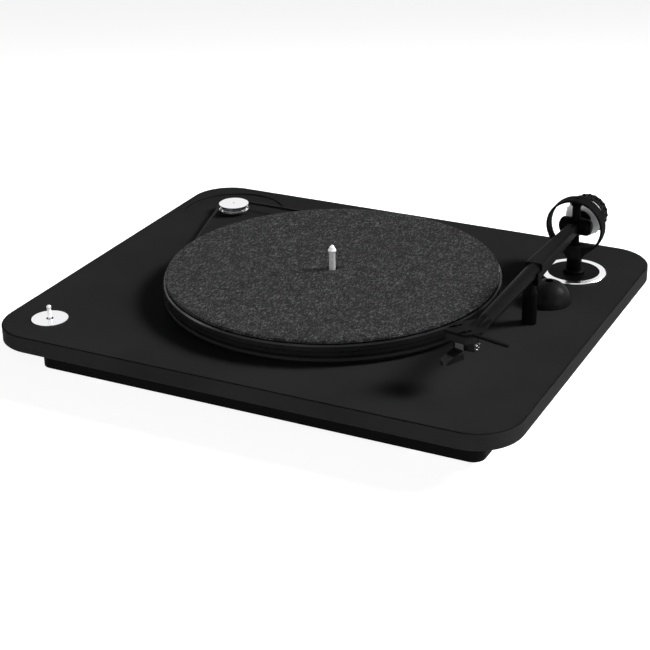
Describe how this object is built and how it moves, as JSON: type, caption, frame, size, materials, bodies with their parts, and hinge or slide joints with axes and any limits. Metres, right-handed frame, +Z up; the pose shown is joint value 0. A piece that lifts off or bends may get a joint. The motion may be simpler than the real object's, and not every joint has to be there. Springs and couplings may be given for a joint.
{
  "type": "turntable record player",
  "caption": "Belt-drive turntable: rounded deck on a base slab and rubber feet, felt-topped platter, straight arm in a pivot hoop, counterweight, arm rest, toggle switch and loose adapter.",
  "frame": {"origin": "on the floor under the middle of the deck", "axes": "+X right along the front edge, +Y to the back, +Z up"},
  "size_m": [0.45, 0.372, 0.1144],
  "materials": {
    "satin_black": "satin black",
    "deck_black": "fibreboard in satin black lacquer",
    "tray_plastic": "matt moulded",
    "felt": "pressed felt",
    "rim_metal": "anodised, with a bright turned bevel",
    "bright_metal": "fine turned",
    "blackened_steel": "blackened",
    "steel": "plated",
    "chrome": "polished",
    "brass": "plain",
    "gold_plate": "plated",
    "black_rubber": "matt",
    "belt_rubber": "smooth",
    "black_plastic": "semi-gloss",
    "grey_plastic": "semi-gloss",
    "board_green": "coated board",
    "clear_smoke": "smoked translucent"
  },
  "bodies": {
    "deck": {"base_tray": "tray_plastic", "base_screws": "steel", "feet": "black_rubber", "foot_screws": "steel", "plinth_board": "deck_black", "bearing_housing": "steel", "bearing_bush": "brass", "thrust_ball": "chrome", "bearing_nut": "steel", "motor_can": "steel", "motor_mount": "tray_plastic", "motor_screws": "steel", "drive_belt": "belt_rubber", "switch_disc": "bright_metal", "switch_body": "black_plastic", "control_board": "board_green", "board_screws": "steel", "board_parts": "black_plastic", "rear_panel": "satin_black", "phono_sockets": "gold_plate", "ground_terminal": "bright_metal", "power_inlet": "black_plastic", "motor_lead": "black_rubber", "switch_lead": "black_rubber", "power_lead": "black_rubber", "phono_leads": "black_rubber", "arm_base_disc": "satin_black", "arm_trim_ring": "bright_metal", "arm_pillar": "satin_black", "arm_base_nut": "steel", "hoop_yoke": "satin_black", "lower_pivot_bearing": "blackened_steel", "upper_pivot_bearing": "blackened_steel", "rest_post": "satin_black", "rest_nut": "steel", "rest_cradle": "black_plastic"},
    "platter": {"platter": "rim_metal", "spindle": "chrome"},
    "mat": {"felt_mat": "felt"},
    "pulley": {"drive_pulley": "bright_metal", "motor_shaft": "steel"},
    "toggle": {"toggle_lever": "chrome"},
    "axle": {"pivot_axle": "satin_black", "tilt_pin": "steel"},
    "arm": {"pivot_barrel": "satin_black", "barrel_caps": "satin_black", "arm_rear_sleeve": "satin_black", "arm_tube": "satin_black", "headshell": "satin_black", "finger_lift": "satin_black", "cartridge_screws": "blackened_steel", "cartridge_body": "black_plastic", "cartridge_pins": "gold_plate", "stylus_unit": "grey_plastic", "counterweight_stub": "satin_black"},
    "guard": {"stylus_guard": "clear_smoke"},
    "weight": {"counterweight_body": "satin_black", "counterweight_cap": "satin_black"},
    "dial": {"counterweight_dial": "bright_metal"},
    "adapter": {"adapter_dome": "black_plastic"}
  },
  "joints": [
    {"name": "platter_spin", "type": "hinge", "parent": "deck", "child": "platter", "pos_m": [0, -0.003, 0.049], "axis": [0, 0, 1], "continuous": true},
    {"name": "pulley_spin", "type": "hinge", "parent": "deck", "child": "pulley", "pos_m": [-0.1685, 0.1264, 0.0465], "axis": [0, 0, 1], "continuous": true},
    {"name": "mat_lift", "type": "slide", "parent": "platter", "child": "mat", "axis": [0, 0, 1], "range_m": [0, 0.03]},
    {"name": "toggle_tip", "type": "hinge", "parent": "deck", "child": "toggle", "pos_m": [-0.1867, -0.147, 0.0415], "axis": [1, 0, 0], "range_deg": [-10, 10]},
    {"name": "arm_swing", "type": "hinge", "parent": "deck", "child": "axle", "pos_m": [0.171, 0.116, 0.0898], "axis": [0, 0, 1], "range_deg": [-42, 0]},
    {"name": "arm_lift", "type": "hinge", "parent": "axle", "child": "arm", "pos_m": [0.171, 0.116, 0.0898], "axis": [-1, 0, 0], "range_deg": [0, 15]},
    {"name": "guard_pull", "type": "slide", "parent": "arm", "child": "guard", "axis": [0, -1, 0], "range_m": [0, 0.012]},
    {"name": "weight_shift", "type": "slide", "parent": "arm", "child": "weight", "axis": [0, -1, 0], "range_m": [-0.006, 0.003]},
    {"name": "dial_turn", "type": "hinge", "parent": "weight", "child": "dial", "pos_m": [0.171, 0.138, 0.0898], "axis": [0, 1, 0], "continuous": true},
    {"name": "adapter_lift", "type": "slide", "parent": "deck", "child": "adapter", "axis": [0, 0, 1], "range_m": [0, 0.015]}
  ],
  "couplings": [
    {"joint": "pulley_spin", "follows": "platter_spin", "ratio": 10.823}
  ]
}
